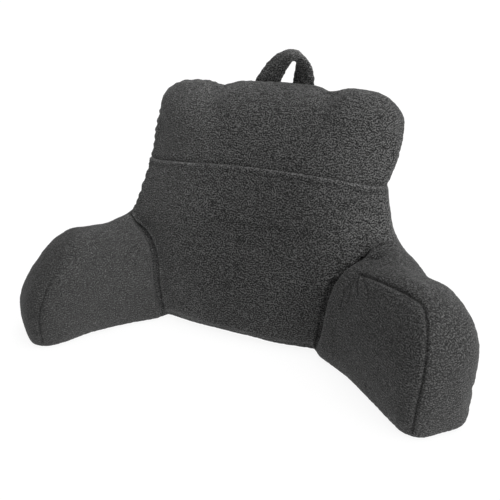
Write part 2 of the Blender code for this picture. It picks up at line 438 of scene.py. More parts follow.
def relaxed(points, edges, amount, rounds):
    """The points moved towards the middle of their neighbours, by amount from 0 to 1 at each point."""
    degree = np.bincount(edges.ravel(), minlength=len(points))
    for _ in range(rounds):
        mean = np.empty_like(points)
        for axis in range(3):
            total = np.bincount(edges[:, 0], points[edges[:, 1], axis], len(points))
            total += np.bincount(edges[:, 1], points[edges[:, 0], axis], len(points))
            mean[:, axis] = total / np.maximum(degree, 1)
        points = points + amount[:, None] * (mean - points)
    return points


def smoothstep(value, low, high):
    """0 below low, 1 above high and smooth between them."""
    t = np.clip((value - low) / (high - low), 0, 1)
    return t * t * (3 - 2 * t)


def near(distance, reach):
    """1 at no distance, falling to nothing past this reach."""
    return np.exp(-((distance / reach) ** 2))


def tree_of(points, faces):
    """A search tree over faces."""
    return BVHTree.FromPolygons([Vector(p) for p in points], faces.tolist())


def node_tree(name):
    """A search tree over a CAD node."""
    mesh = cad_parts[name].data
    return BVHTree.FromPolygons([v.co for v in mesh.vertices], [p.vertices for p in mesh.polygons])


def distances(points, tree, reach):
    """Each point's distance to a tree, or reach if that is less."""
    found = np.full(len(points), reach)
    for i, p in enumerate(points):
        hit = tree.find_nearest(Vector(p), reach)
        if hit[0] is not None:
            found[i] = hit[3]
    return found


def line_field(points, line, reach):
    """(distance to a line of points, length along it) for each point within reach of it."""
    line = np.array(line)
    near = np.all((points > line.min(0) - reach) & (points < line.max(0) + reach), axis=1)
    chosen = points[near]
    best = np.full(len(chosen), reach)
    along = np.zeros(len(chosen))
    run = 0.0
    for a, b in zip(line, line[1:]):
        step = b - a
        length = np.linalg.norm(step)
        t = np.clip((chosen - a) @ step / length**2, 0, 1)
        gap = np.linalg.norm(chosen - (a + t[:, None] * step), axis=1)
        closer = gap < best
        best[closer] = gap[closer]
        along[closer] = (run + t * length)[closer]
        run += length
    distance = np.full(len(points), reach)
    length_along = np.zeros(len(points))
    distance[near] = best
    length_along[near] = along
    return distance, length_along


def cell_hash(cells, seed):
    """Three numbers from 0 to 1 for each whole-numbered cell, its bits mixed by large odd numbers."""
    x, y, z = (cells[:, k].astype(np.uint32) for k in range(3))
    found = []
    for k in range(3):
        h = x * np.uint32(374761393) + y * np.uint32(668265263) + z * np.uint32(2246822519)
        h += np.uint32((seed + k) * 3266489917 & 0xFFFFFFFF)
        h = (h ^ (h >> np.uint32(13))) * np.uint32(1274126177)
        h = (h ^ (h >> np.uint32(16))) * np.uint32(2654435761)
        found.append((h >> np.uint32(8)).astype(float) / 2**24)
    return np.stack(found, axis=1)


def nubs(points, size, seed):
    """Rounded bumps from 0 to 1, one to each cell of this size."""
    scaled = points / size
    base = np.floor(scaled).astype(np.int64)
    best = np.full(len(points), 9.0)
    for step in product((-1, 0, 1), repeat=3):
        cell = base + step
        gap = np.linalg.norm(scaled - cell - cell_hash(cell, seed), axis=1)
        best = np.minimum(best, gap)
    return 1 - np.clip(best / 0.95, 0, 1) ** 2


def soft_noise(points, size, seed):
    """Smooth noise from -1 to 1 with bumps about this size apart."""
    scaled = points / size
    base = np.floor(scaled).astype(np.int64)
    part = scaled - base
    part = part * part * (3 - 2 * part)
    total = np.zeros(len(points))
    for step in product((0, 1), repeat=3):
        weight = np.prod(np.where(step, part, 1 - part), axis=1)
        total += weight * cell_hash(base + step, seed)[:, 0]
    return total * 2 - 1


# The cover.


def joined_solids(names):
    """One object holding these CAD nodes, each swollen a little."""
    mesh = bmesh.new()
    for name in names:
        part = bmesh.new()
        part.from_mesh(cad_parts[name].data)
        bmesh.ops.remove_doubles(part, verts=part.verts, dist=0.00001)
        part.normal_update()
        moves = [vert.normal * SWELL for vert in part.verts]
        for vert, move in zip(part.verts, moves):
            vert.co += move
        data = bpy.data.meshes.new("swollen")
        part.to_mesh(data)
        part.free()
        mesh.from_mesh(data)
        bpy.data.meshes.remove(data)
    data = bpy.data.meshes.new("joined")
    mesh.to_mesh(data)
    mesh.free()
    item = bpy.data.objects.new("joined", data)
    bpy.context.scene.collection.objects.link(item)
    return item


def remeshed(item):
    """The object's even quads."""
    remesh = item.modifiers.new("remesh", "REMESH")
    remesh.mode = "VOXEL"
    remesh.voxel_size = VOXEL
    remesh.adaptivity = 0.0
    arrays = object_arrays(item)
    bpy.data.objects.remove(item)
    return arrays


def subdivided(points, quads):
    """The same surface with each quad in four, rounded."""
    item = mesh_object("subdivided", points, quads)
    item.modifiers.new("subdivision", "SUBSURF").levels = 1
    arrays = object_arrays(item)
    bpy.data.objects.remove(item)
    return arrays


def puffed(points, quads, held):
    """The points after the stuffing has pushed the cloth out, but where held is true."""
    inset = np.where(held, 0.0, PUFF_INSET)
    start = points - inset[:, None] * normals_of(points, quads)
    item = mesh_object("stuffed", start, quads)
    item.vertex_groups.new(name="held").add(np.flatnonzero(held).tolist(), 1.0, "REPLACE")
    cloth = item.modifiers.new("cloth", "CLOTH")
    settings = cloth.settings
    settings.quality = 5
    settings.mass = 0.3
    settings.tension_stiffness = 2.0
    settings.compression_stiffness = 2.0
    settings.shear_stiffness = 1.0
    settings.bending_stiffness = 2.0
    settings.use_pressure = True
    settings.uniform_pressure_force = PUFF_PRESSURE
    settings.vertex_group_mass = "held"
    settings.effector_weights.gravity = 0.0
    cloth.collision_settings.use_collision = False
    cloth.point_cache.frame_end = PUFF_FRAMES
    for number in range(1, PUFF_FRAMES + 1):
        bpy.context.scene.frame_set(number)
    moved, _ = object_arrays(item)
    bpy.data.objects.remove(item)
    bpy.context.scene.frame_set(1)
    motion = moved - start
    length = np.linalg.norm(motion, axis=1)[:, None]
    return start + motion * PUFF_CAP / (PUFF_CAP + length)


def solid_distances(points, reach):
    """(distance to the left arm, to the right arm, to the backrest) of each point."""
    return [distances(points, node_tree(name), reach) for name in ("arm_left", "arm_right", "backrest")]


def creases(points, left, right, back):
    """Each point's distance from where an arm meets the front, the same past the crease's floor, and how
    far it is inside the outer joint."""
    x = points[:, 0]
    starts, ends = (np.where(x < 0, *pair) for pair in CREASE_FADE)
    close = np.maximum(np.minimum(left, right), np.maximum(back - CREASE_SLACK, 0))
    inside = 1 - smoothstep((np.abs(x) - starts) / (ends - starts), 0, 1)
    return close, np.maximum(close - CREASE_FLOOR, 0), inside


def snapped(line, tree):
    """The line's points moved to the nearest place on the surface."""
    return [tree.find_nearest(p)[0] for p in line]


def fine_line(rows, make):
    """Points along a curve through a table's rows, each made by make(*columns)."""
    spread = [(float(i), *row) for i, row in enumerate(rows)]
    count = 12 * (len(rows) - 1)
    return [make(*smooth_rows(spread, i * (len(rows) - 1) / count)) for i in range(count + 1)]


def side_seam():
    """The seam up the left side, behind the top and down the right side."""
    half = []
    shoulder = BACKREST_SECTIONS[-1][0]
    for k in range(SIDE_STEPS + 1):
        z = SIDE_SEAM_FOOT + (shoulder - SIDE_SEAM_FOOT) * k / SIDE_STEPS
        half_width, _, seam, _ = smooth_rows(BACKREST_SECTIONS, z)
        half.append((half_width, seam + SIDE_SEAM_BEHIND, z))
    half_width, _, seam, _ = BACKREST_SECTIONS[-1][1:]
    ridge_y = RIDGE_Y + RIDGE_SEAM_BEHIND
    for k in range(1, CORNER_STEPS + 1):
        turn = math.radians(90 * k / CORNER_STEPS)
        close = 1 - math.cos(turn)
        x = half_width + (RIDGE_HALF_WIDTH - half_width) * close
        y = seam + (ridge_y - seam) * close
        half.append((x, y, shoulder + (BACKREST_TOP - shoulder) * math.sin(turn)))
    for k in range(1, RIDGE_STEPS + 1):
        half.append((RIDGE_HALF_WIDTH * (1 - k / RIDGE_STEPS), ridge_y, BACKREST_TOP))
    left = [settled(Vector((-x, y, z))) for x, y, z in half]
    right = [settled(Vector(p)) for p in half[:-1]]
    return left + right[::-1]


def seam_lines(tree):
    """The sewn lines on a surface: the left arm's, the right arm's, and the backrest's side seam."""
    lines = []
    for side, rows in ((-1, ARM_LEFT_SEAM), (1, ARM_RIGHT_SEAM)):
        lines.append([arm_point(side, *row) for row in fine_line(rows, lambda *columns: columns)])
    lines.append(side_seam())
    return [snapped(line, tree) for line in lines]


def ripples(along, pitch, seed):
    """Uneven waves from -1 to 1 of about this pitch."""
    place = np.stack([along, np.full_like(along, seed * 0.37), np.zeros_like(along)], axis=1)
    size = 0.65 + 0.35 * soft_noise(place, pitch * 1.7, seed + 1)
    return size * np.sin(2 * np.pi * (along / pitch + 0.55 * soft_noise(place, pitch * 2.3, seed)))


def seam_dip(points, line, depth, reach, ripple, pitch, seed):
    """How far a sewn line draws the surface in, with small gathers across it."""
    gap, along = line_field(points, line, reach * LINE_REACHES)
    groove = depth * (0.65 * near(gap, reach * 0.4) + 0.35 * np.exp(-gap / reach))
    share = 1 - (1 - TOP_GATHERS) * smoothstep(points[:, 2], *TOP_START)
    share *= np.where(points[:, 0] > 0, RIGHT_GATHERS, LEFT_GATHERS)
    gathers = share * ripple * ripples(along, pitch, seed) * near(gap, reach * 1.8)
    fade = 1 - smoothstep(gap, reach * 4, reach * LINE_REACHES)
    return (groove - gathers) * fade


def crowned(points, facing, weight):
    """The front's points drawn back towards its sides, so that the whole front is one round crown."""
    heights = np.linspace(0.0, BACKREST_SECTIONS[-1][0], 60)
    rows = np.array([smooth_rows(BACKREST_SECTIONS, z) for z in heights])
    half_width = np.interp(points[:, 2], heights, rows[:, 0])
    depth = np.interp(points[:, 2], heights, rows[:, 2] - rows[:, 1])
    t = np.clip(np.abs(points[:, 0]) / half_width, 0, CROWN_LIMIT)
    square = (1 - t**FRONT_SQUARENESS) ** (1 / FRONT_SQUARENESS)
    drop = depth * (square - np.sqrt(1 - t * t))
    front = smoothstep(-facing[:, 1], *CROWN_FACING) * (1 - smoothstep(points[:, 2], *CROWN_HEIGHT))
    moved = points.copy()
    moved[:, 1] += drop * front * weight
    return moved


def filled_out(points, quads):
    """The points pushed out where the stuffing is fullest."""
    lift = np.zeros(len(points))
    for side, a, b, c, reach, amount in FULL_PLACES:
        centre = arm_point(side, a, b, c) if side else Vector((a, b, c))
        lift += amount * np.exp(-(((points - np.array(centre)) / reach) ** 2).sum(axis=1))
    return points + normals_of(points, quads) * lift[:, None]


def leaning(points):
    """The points moved with the right arm's root."""
    moved = points.copy()
    for x, y, z, shift, rise, across, up in LEANS:
        level = (points[:, 0] - x) ** 2 + (points[:, 1] - y) ** 2
        far = level / across**2 + ((points[:, 2] - z) / up) ** 2
        moved[:, 0] += shift * np.exp(-far)
        moved[:, 2] += rise * np.exp(-far)
    return moved


def cover_form():
    """The stuffed cover before its seams are drawn in: one skin, smooth over the arms' outer joints."""
    points, quads = remeshed(joined_solids(("backrest", "arm_left", "arm_right")))
    edges = edges_of(quads)
    points = relaxed(points, edges, np.full(len(points), 0.5), MESH_ROUNDS)
    points = points - SWELL * normals_of(points, quads)
    left, right, back = solid_distances(points, SOLID_REACH)
    joint = 1 - smoothstep(np.maximum(np.minimum(left, right), back), *JOINT_SPREAD)
    outer = smoothstep(np.abs(points[:, 0] - JOINT_MIDDLE), *JOINT_START)
    root = np.linalg.norm(points - np.array(ROOT_PLACE), axis=1)
    soft = np.maximum(outer, 1 - smoothstep(root, *ROOT_SPREAD))
    points = relaxed(points, edges, JOINT_SOFTNESS * joint * soft, JOINT_ROUNDS)
    fill = np.where(points[:, 0] < 0, *JOINT_FILL)
    normals = normals_of(points, quads)
    points = points + normals * (fill * joint * outer)[:, None]
    body = smoothstep(np.minimum(left, right) - back, *CROWN_EDGE)
    points = filled_out(crowned(points, normals, body), quads)
    _, meeting, inside = creases(points, left, right, back)
    held = (points[:, 2] < HELD_SOLE) | ((meeting < HELD_CREASE) & (inside > HELD_INSIDE))
    for line in seam_lines(tree_of(points, quads)):
        held |= line_field(points, line, LINE_NEAR)[0] < HELD_LINE
    points = puffed(points, quads, held)
    points[:, 2] = np.maximum(points[:, 2], 2 * FLOOR_CLEAR)
    return subdivided(points, quads)


def front_painted_light(points):
    """The painted light and shade on the front at these points: lighter towards its sides, darker in its
    middle and in a painted shadow beside the right arm.
    """
    x, z = points[:, 0], points[:, 2]
    right, left = smoothstep(x, *RIGHT_START), smoothstep(-x, *LEFT_START)
    middle = (1 - right) * (1 - left) * (1 - smoothstep(z, *MIDDLE_HEIGHT))
    closeness = 1 - distances(points, node_tree("arm_right"), BESIDE_REACH) / BESIDE_REACH
    beside = closeness * (1 - smoothstep(z, *BESIDE_HEIGHT))
    tone = MIDDLE_PAINTED_SHADE * middle + RIGHT_PAINTED_LIGHT * right + LEFT_PAINTED_LIGHT * left + BESIDE_PAINTED_SHADOW * beside
    for patch_x, patch_z, across, up, patch_tone in FRONT_PAINTED_PATCHES:
        tone += patch_tone * np.exp(-(((x - patch_x) / across) ** 2) - ((z - patch_z) / up) ** 2)
    return tone


def side_lie(points):
    """How flat the pile lies towards the front's left side, where its grain is flatter and, through the lie,
    it is drawn lighter with painted light.
    """
    return SIDE_LIE * (1 - smoothstep(points[:, 0], *SIDE_LIE_START))


def crease_marks(points, left, right, back):
    """(how far the surface is drawn in, painted shade) by the creases beside the arms, with the front's
    painted light and shade.
    """
    close, meeting, inside = creases(points, left, right, back)
    body = smoothstep(np.minimum(left, right) - back, *SHOULDER_EDGE)
    core = CREASE_DEPTH * np.exp(-meeting / CREASE_REACH)
    shoulder = SHOULDER_DEPTH * body * np.exp(-((meeting / SHOULDER_REACH) ** SHOULDER_POWER))
    above_floor = smoothstep(points[:, 2], 0.0, CREASE_LOW)
    dip = (core + shoulder) * inside * (0.1 + 0.9 * above_floor)
    tone = CREASE_PAINTED_SHADE * near(close, CREASE_TONE_REACH) * inside * (0.3 + 0.7 * above_floor)
    return dip, tone + front_painted_light(points) * body


def seam_marks(points, tree):
    """(how far the surface is drawn in, painted shade) by the sewn lines, with painted shade at the left
    arm's end and on top of the right arm's root.
    """
    left_line, right_line, side_line = seam_lines(tree)
    gap, along = line_field(points, left_line, LINE_FORMS["arm_left"][1] * LINE_REACHES)
    turned = smoothstep(along, *LEFT_SEAM_TURN)
    dip = seam_dip(points, left_line, *LINE_FORMS["arm_left"]) * (0.45 + 0.55 * turned)
    tone = LEFT_SEAM_PAINTED_SHADE * near(gap, SEAM_TONE_REACH) * (0.15 + 0.85 * turned)
    dip += seam_dip(points, right_line, *LINE_FORMS["arm_right"])
    tone += SEAM_PAINTED_SHADE * near(line_field(points, right_line, LINE_NEAR)[0], SEAM_TONE_REACH)
    dip += seam_dip(points, side_line, *LINE_FORMS["side"])
    tone += LEFT_END_PAINTED_SHADE * smoothstep(-points[:, 0], *LEFT_END_START)
    root_top = np.linalg.norm(points - np.array(arm_point(1, *ROOT_TOP)), axis=1)
    return dip, tone + ROOT_PAINTED_SHADE * near(root_top, ROOT_TONE_REACH)


def pull_marks(points, tree):
    """(how far the surface is drawn in, painted shade) by the tuck, the right crease's tail and the puckers;
    the shade is painted along the tail and the puckers.
    """
    tuck = snapped([settled(Vector(row)) for row in TUCK], tree)
    dip = TUCK_DEPTH * near(line_field(points, tuck, LINE_FAR)[0], TUCK_REACH)
    tail = snapped([arm_point(1, *row) for row in fine_line(TAIL, lambda *columns: columns)], tree)
    gap, along = line_field(points, tail, LINE_FAR)
    fade = smoothstep(along, *TAIL_START) * (1 - smoothstep(along, *TAIL_END))
    dip += TAIL_DEPTH * np.exp(-gap / TAIL_REACH) * fade
    tone = TAIL_PAINTED_SHADE * near(gap, TAIL_TONE_REACH) * fade
    for side, *ends in PUCKERS:
        start, end = arm_point(side, *ends[:3]), arm_point(side, *ends[3:])
        line = snapped([start.lerp(end, k / 8) for k in range(9)], tree)
        dip += seam_dip(points, line, *LINE_FORMS["pucker"])
        tone += PUCKER_PAINTED_SHADE * near(line_field(points, line, LINE_NEAR)[0], PUCKER_TONE_REACH)
    return dip, tone


def shaped_cover():
    """(points, quads, piece of each quad, lie and painted light and shade of the pile) of the cover with its
    seams.
    """
    points, quads = cover_form()
    tree = tree_of(points, quads)
    left, right, back = solid_distances(points, SEAM_REACH)
    normals = normals_of(points, quads)
    dip, tone = crease_marks(points, left, right, back)
    for more_dip, more_tone in (seam_marks(points, tree), pull_marks(points, tree)):
        dip += more_dip
        tone += more_tone
    lumps = sum(height * soft_noise(points, size, seed) for height, size, seed in LUMPS)
    rest = smoothstep(points[:, 2], *LUMPS_LOW)
    points = points + normals * ((lumps * rest - dip)[:, None])
    middle = quads[:, 0]
    nearer = np.minimum(left, right)
    on_arm = nearer[middle] < back[middle]
    piece = np.where(on_arm, np.where(left < right, 1, 2)[middle], 0)
    arm_lie = np.where(left < right, LEFT_LIE, RIGHT_LIE) * smoothstep(back - nearer, *ARM_LIE_EDGE)
    lie = np.maximum(arm_lie, side_lie(points))
    return points, quads, piece, np.stack([lie, tone], axis=1)


def with_pile(points, normals, amount):
    """The points raised by the pile's curls."""
    swirls = SWIRL_HEIGHT * soft_noise(points, SWIRL_SIZE, 32)
    curls = CURL_HEIGHT * nubs(points, CURL_SIZE, 31) + swirls - SWIRL_HEIGHT
    return points + normals * (curls * amount)[:, None]


# The pocket.

POCKET_COLUMNS = 270
POCKET_ROWS = 165
POCKET_HEIGHT = 0.28
POCKET_GAP = 0.0006
POCKET_THICKNESS = 0.0030
POCKET_FOOT = 0.010

# Its side edge is sought outwards from here in these steps, until the arm is this near, and goes on into the
# crease by this much, or ends this far inside the side seam.
POCKET_START = 0.110
POCKET_STEP = 0.001
ARM_NEAR = 0.0060
POCKET_TUCKED = 0.002
POCKET_MARGIN = 0.0008

# The hem's ridge, the groove of its stitches and the painted highlight on its edge: size, how far below the
# edge, reach.
HEM_RIDGE = (0.0018, 0.004, 0.004)
HEM_GROOVE = (0.0010, 0.0125, 0.003)
HEM_HIGHLIGHT = (HEM_PAINTED_HIGHLIGHT, 0.0020, 0.0022)

# A small fold under the hem near its right end: from one place to another, in x and below the hem.
FOLD_START = (0.140, 0.004)
FOLD_END = (0.192, 0.017)
FOLD_HEIGHT = 0.0016
FOLD_RIDGE_REACH = 0.006
FOLD_GROOVE_REACH = 0.003


def hem_at(x):
    """The hem's height at this x."""
    half_width = smooth_rows(BACKREST_SECTIONS, HEM_HEIGHT)[0]
    bow = HEM_BOW * math.sin(math.pi * HEM_HEIGHT / BACKREST_TOP) ** 2
    return HEM_HEIGHT + bow * (1 - (x / half_width) ** 2)


def front_at(x, z):
    """The point of the backrest's front at this x and height."""
    half_width, front, seam, _ = smooth_rows(BACKREST_SECTIONS, z)
    share = min(1.0, abs(x) / half_width) ** FRONT_SQUARENESS
    y = seam - (seam - front) * (1 - share) ** (1 / FRONT_SQUARENESS)
    return Vector((x, y, z))


def pocket_edges(side, arm):
    """How far the pocket reaches to one side in each row: into the arm's crease, or to the side seam."""
    edges = []
    for r in range(POCKET_ROWS + 1):
        z = POCKET_FOOT + (HEM_HEIGHT - POCKET_FOOT) * r / POCKET_ROWS
        half_width = smooth_rows(BACKREST_SECTIONS, z)[0] - POCKET_MARGIN
        x = POCKET_START
        while x < half_width and arm.find_nearest(settled(front_at(side * x, z)), ARM_NEAR)[0] is None:
            x += POCKET_STEP
        edges.append(min(x + POCKET_TUCKED, half_width))
    kernel = np.exp(-(np.linspace(-2, 2, 9) ** 2))
    padded = np.pad(edges, 4, mode="edge")
    return np.convolve(padded, kernel / kernel.sum(), mode="valid")


def pocket_places(cover_tree):
    """(points, normals, x) on the cover under the pocket, in rows from its foot to its hem."""
    rows, columns = POCKET_ROWS + 1, POCKET_COLUMNS + 1
    places = np.empty((rows, columns, 3))
    facing = np.empty((rows, columns, 3))
    across = np.empty((rows, columns))
    left = pocket_edges(-1, node_tree("arm_left"))
    right = pocket_edges(1, node_tree("arm_right"))
    power = FRONT_SQUARENESS / 2
    for r in range(rows):
        rise = r / POCKET_ROWS
        z = POCKET_FOOT + (HEM_HEIGHT - POCKET_FOOT) * rise
        half_width = smooth_rows(BACKREST_SECTIONS, z)[0]
        start = -math.asin(min(1.0, (left[r] / half_width) ** power))
        end = math.asin(min(1.0, (right[r] / half_width) ** power))
        for c in range(columns):
            angle = start + (end - start) * c / POCKET_COLUMNS
            x = half_width * math.copysign(abs(math.sin(angle)) ** (1 / power), angle)
            spot = front_at(x, z)
            spot.z += (hem_at(x) - HEM_HEIGHT) * rise
            places[r, c], facing[r, c] = cover_tree.find_nearest(settled(spot))[:2]
            across[r, c] = x
    return places, facing, across


def fold_lift(across, below_hem):
    """The height of the small fold at the hem's right end."""
    start, step = np.array(FOLD_START), np.array(FOLD_END) - np.array(FOLD_START)
    gap = np.stack(np.broadcast_arrays(across, below_hem), axis=-1) - start
    along = np.clip(gap @ step / (step @ step), 0, 1)
    off = gap - along[..., None] * step
    far = np.linalg.norm(off, axis=-1)
    below = smoothstep(off[..., 1], -0.001, 0.003)
    strength = smoothstep(along, 0, 0.3) * (1 - smoothstep(along, 0.75, 1))
    ridge = FOLD_HEIGHT * near(far, FOLD_RIDGE_REACH) * (1 - below)
    groove = FOLD_HEIGHT * near(far, FOLD_GROOVE_REACH) * below
    return strength * (ridge - groove)


def hem_line(below_hem, size, place, reach):
    """A line along the hem, of this size, at this distance below its edge."""
    return size * near(below_hem - place, reach)


def pocket_piece(cover_tree):
    """(points, quads, normals, pile, lie and painted light and shade) of the pocket: its front skin, back
    skin and edges.
    """
    places, facing, across = pocket_places(cover_tree)
    rows, columns = across.shape
    height = np.linspace(0, 1, rows)[:, None] * POCKET_HEIGHT
    side = 1 - np.abs(np.linspace(-1, 1, columns))[None, :]
    below_hem = POCKET_HEIGHT - height
    relief = hem_line(below_hem, *HEM_RIDGE) - hem_line(below_hem, *HEM_GROOVE)
    round_top = smoothstep(below_hem, -0.001, 0.003)
    edge = smoothstep(side, 0.0, 0.035)
    foot = smoothstep(height, 0.0, 0.012)
    thick = POCKET_THICKNESS * (0.2 + 0.8 * edge) * (0.3 + 0.7 * foot) * (0.35 + 0.65 * round_top)
    relief = (relief + fold_lift(across, below_hem)) * edge * (0.3 + 0.7 * round_top)
    lift = POCKET_GAP + thick + relief
    front = places + facing * lift[:, :, None]
    rear = places + facing * POCKET_GAP
    points = np.concatenate([front.reshape(-1, 3), rear.reshape(-1, 3)])
    facings = np.concatenate([facing.reshape(-1, 3), -facing.reshape(-1, 3)])
    count = rows * columns
    index = np.arange(count).reshape(rows, columns)
    a, b, c, d = index[:-1, :-1], index[:-1, 1:], index[1:, 1:], index[1:, :-1]
    skin = np.stack([a, b, c, d], axis=-1).reshape(-1, 4)
    rim = np.concatenate([index[0, :], index[1:, -1], index[-1, -2::-1], index[-2:0:-1, 0]])
    ahead = np.roll(rim, -1)
    sides = np.stack([ahead, rim, rim + count, ahead + count], axis=1)
    pile = np.concatenate([np.ones(count), np.zeros(count)])
    # The hem's edge is drawn lighter, a painted highlight, and the front gets its painted light and shade.
    hem = hem_line(below_hem, *HEM_HIGHLIGHT) * edge
    tone = hem.ravel() + front_painted_light(points[:count])
    look = np.stack([side_lie(points), np.concatenate([tone, tone])], axis=1)
    return points, np.concatenate([skin, skin[:, ::-1] + count, sides]), facings, pile, look


# The handle.


def strap_path():
    """The handle's middle line, from one sewn end to the other."""
    points = []
    for k in range(HANDLE_STEPS + 1):
        angle = math.pi * (1 - k / HANDLE_STEPS)
        rise = math.sin(angle)
        x = HANDLE_X + HANDLE_SPREAD * math.cos(angle) + HANDLE_SKEW * math.sin(angle)
        y = HANDLE_Y + HANDLE_LEAN * rise
        points.append(Vector((x, y, HANDLE_FOOT + (HANDLE_TOP - HANDLE_FOOT) * rise)))
    return points


def handle_piece():
    """(points, quads) of the strap: a soft flat section carried along the loop, closed at its ends."""
    path = strap_path()
    section = STRAP_SECTION
    points = []
    for i, centre in enumerate(path):
        ahead, behind = path[min(i + 1, HANDLE_STEPS)], path[max(i - 1, 0)]
        tangent = (ahead - behind).normalized()
        wide = Vector((0, 1, 0))
        wide = (wide - tangent * wide.dot(tangent)).normalized()
        turn = HANDLE_TWIST * math.cos(math.pi * i / HANDLE_STEPS)
        across = wide * math.cos(turn) + tangent.cross(wide) * math.sin(turn)
        through = tangent.cross(across)
        thickness = STRAP_THICKNESS + STRAP_TOP_FULLNESS * math.sin(math.pi * i / HANDLE_STEPS) ** 4
        for k in range(section):
            angle = 2 * math.pi * k / section
            c, s = math.cos(angle), math.sin(angle)
            u = math.copysign(abs(c) ** STRAP_EDGE_POWER, c) * STRAP_WIDTH / 2
            v = math.copysign(abs(s) ** STRAP_FACE_POWER, s) * thickness / 2
            points.append(centre + across * u + through * v)
    index = np.arange(len(points)).reshape(-1, section)
    after = np.roll(index, -1, axis=1)
    sides = np.stack([index[:-1], after[:-1], after[1:], index[1:]], axis=-1).reshape(-1, 4)
    half = section // 2
    ends = []
    for row, flip in ((index[0], True), (index[-1], False)):
        for k in range(half - 1):
            quad = [row[k], row[k + 1], row[section - k - 2], row[section - k - 1]]
            ends.append(quad[::-1] if flip else quad)
    return np.array([tuple(p) for p in points]), np.concatenate([sides, np.array(ends)])


# The pile fabric.

# Each piece's points carry how flat the pile lies, 0 standing and 1 brushed down, and its tone, mostly
# painted light and shade:
# how much lighter than the rest it is drawn.
PILE_LAYERS = ("pile_lie", "pile_tone_and_painted_light")
LIE_PAINTED_SHEEN = 0.06
BRUSHED_FLATNESS = 0.40

# How much of the grain is curls and how much specks, and the colours of the gaps between the curls, of the
# pile's face and of the curls' tips, with where each is on the grain's scale.
CURL_SHARE = 0.62
SPECK_SHARE = 0.38
GAP_COLOUR = (0.39, (0.009, 0.009, 0.009, 1))
FACE_COLOUR = (0.50, (0.039, 0.039, 0.0385, 1))
TIP_COLOUR = (0.61, (0.118, 0.118, 0.117, 1))
SLOW_SHADE = (0.82, 1.15)


def lay_pile(item, pile):
    """Stores the pile's lie and its tone of painted light and shade at each of the object's points; points
    past the rows get the last.
    """
    for column, name in enumerate(PILE_LAYERS):
        full = np.full(len(item.data.vertices), pile[-1, column], np.float32)
        full[: len(pile)] = pile[:, column]
        layer = item.data.attributes.new(name, "FLOAT", "POINT")
        layer.data.foreach_set("value", full)


def fabric():
    """Dark curly pile: small pale curls over dark gaps, soft sheen and slow changes of shade, times the
    painted light and shade that its points carry.
    """
    material = bpy.data.materials.new("pile_fabric")
    material.use_nodes = True
    nodes, links = material.node_tree.nodes, material.node_tree.links
    shader = nodes["Principled BSDF"]
    shader.inputs["Roughness"].default_value = 0.92
    shader.inputs["Specular IOR Level"].default_value = 0.15
    shader.inputs["Sheen Weight"].default_value = 0.12
    shader.inputs["Sheen Roughness"].default_value = 0.45

    def node(kind, **values):
        """A node with these inputs and settings."""
        made = nodes.new(kind)
        for name, value in values.items():
            if name in made.inputs:
                made.inputs[name].default_value = value
            else:
                setattr(made, name, value)
        return made

    def math_node(operation, first, second, third=0.0):
        """The result of a sum on numbers or sockets."""
        made = node("ShaderNodeMath", operation=operation)
        for socket, value in zip(made.inputs, (first, second, third)):
            if isinstance(value, float):
                socket.default_value = value
            else:
                links.new(value, socket)
        return made.outputs[0]

    place = node("ShaderNodeTexCoord")
    curls = node("ShaderNodeTexGabor", gabor_type="3D", Scale=158.0, Frequency=1.8, Anisotropy=0.0)
    links.new(place.outputs["Object"], curls.inputs["Vector"])
    fine = node("ShaderNodeTexNoise", Scale=700.0, Detail=0.0)
    links.new(place.outputs["Object"], fine.inputs["Vector"])
    lie, painted_light = (node("ShaderNodeAttribute", attribute_name=name) for name in PILE_LAYERS)
    standing = math_node("SUBTRACT", 1.0, math_node("MULTIPLY", lie.outputs["Fac"], BRUSHED_FLATNESS))
    curl = math_node("SUBTRACT", curls.outputs["Value"], 0.5)
    speck = math_node("SUBTRACT", fine.outputs["Fac"], 0.5)
    curls_part = math_node("MULTIPLY", curl, CURL_SHARE)
    specks_part = math_node("MULTIPLY", speck, SPECK_SHARE)
    mixed = math_node("ADD", curls_part, specks_part)
    contrast = math_node("MULTIPLY_ADD", mixed, standing, 0.5)
    bump = node("ShaderNodeBump", Strength=0.8, Distance=0.0012)
    links.new(fine.outputs["Fac"], bump.inputs["Height"])
    links.new(bump.outputs["Normal"], shader.inputs["Normal"])
    tone = node("ShaderNodeValToRGB")
    ramp = tone.color_ramp.elements
    ramp[0].position, ramp[0].color = GAP_COLOUR
    ramp[1].position, ramp[1].color = TIP_COLOUR
    ramp.new(FACE_COLOUR[0]).color = FACE_COLOUR[1]
    links.new(contrast, tone.inputs["Fac"])
    slow = node("ShaderNodeTexNoise", Scale=9.0, Detail=2.0)
    links.new(place.outputs["Object"], slow.inputs["Vector"])
    # The colour is scaled by the painted sheen of flat pile and by the points' painted light and shade.
    painted_scale = math_node("MULTIPLY_ADD", lie.outputs["Fac"], LIE_PAINTED_SHEEN, 1.0)
    painted_scale = math_node("ADD", painted_scale, painted_light.outputs["Fac"])
    slow_tone = node("ShaderNodeMapRange")
    slow_tone.inputs["To Min"].default_value, slow_tone.inputs["To Max"].default_value = SLOW_SHADE
    links.new(slow.outputs["Fac"], slow_tone.inputs["Value"])
    shade = node("ShaderNodeVectorMath", operation="SCALE")
    links.new(tone.outputs["Color"], shade.inputs[0])
    links.new(math_node("MULTIPLY", slow_tone.outputs["Result"], painted_scale), shade.inputs["Scale"])
    links.new(shade.outputs[0], shader.inputs["Base Color"])
    return material


